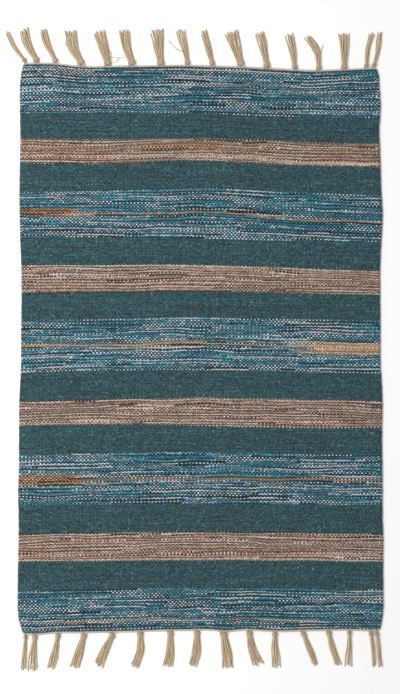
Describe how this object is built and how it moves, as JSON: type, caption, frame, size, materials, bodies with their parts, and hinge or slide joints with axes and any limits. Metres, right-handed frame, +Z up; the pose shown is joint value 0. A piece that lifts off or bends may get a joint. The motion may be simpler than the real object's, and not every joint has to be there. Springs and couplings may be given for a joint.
{
  "type": "kilim rug",
  "caption": "Flat hand-woven cotton kilim rug: weft-faced plain weave in plain and mottled cross bands, a cream heading and a knotted warp tassel fringe at each end.",
  "frame": {"origin": "on the floor, in the middle of the box that holds the rug and its fringe", "axes": "+X across the rug to the right edge, +Y along the rug to the far fringe, +Z up"},
  "size_m": [0.6266, 1.0672, 0.0054],
  "materials": {
    "weft_yarn": "matt cotton weft, plain dark teal bands between mottled petrol-blue and mottled brown bands",
    "heading_yarn": "matt cream cotton yarn, twined in a narrow row",
    "warp_yarn": "matt unbleached tan-cream cotton warp ends, plied and loosely combed out"
  },
  "bodies": {
    "root": {"woven_ground": "weft_yarn", "heading_near": "heading_yarn", "heading_far": "heading_yarn", "tassel_near_01": "warp_yarn", "tassel_near_02": "warp_yarn", "tassel_near_03": "warp_yarn", "tassel_near_04": "warp_yarn", "tassel_near_05": "warp_yarn", "tassel_near_06": "warp_yarn", "tassel_near_07": "warp_yarn", "tassel_near_08": "warp_yarn", "tassel_near_09": "warp_yarn", "tassel_near_10": "warp_yarn", "tassel_near_11": "warp_yarn", "tassel_near_12": "warp_yarn", "tassel_near_13": "warp_yarn", "tassel_near_14": "warp_yarn", "tassel_near_15": "warp_yarn", "tassel_near_16": "warp_yarn", "tassel_far_01": "warp_yarn", "tassel_far_02": "warp_yarn", "tassel_far_03": "warp_yarn", "tassel_far_04": "warp_yarn", "tassel_far_05": "warp_yarn", "tassel_far_06": "warp_yarn", "tassel_far_07": "warp_yarn", "tassel_far_08": "warp_yarn", "tassel_far_09": "warp_yarn", "tassel_far_10": "warp_yarn", "tassel_far_11": "warp_yarn", "tassel_far_12": "warp_yarn", "tassel_far_13": "warp_yarn", "tassel_far_14": "warp_yarn", "tassel_far_15": "warp_yarn", "tassel_far_16": "warp_yarn"}
  },
  "joints": []
}
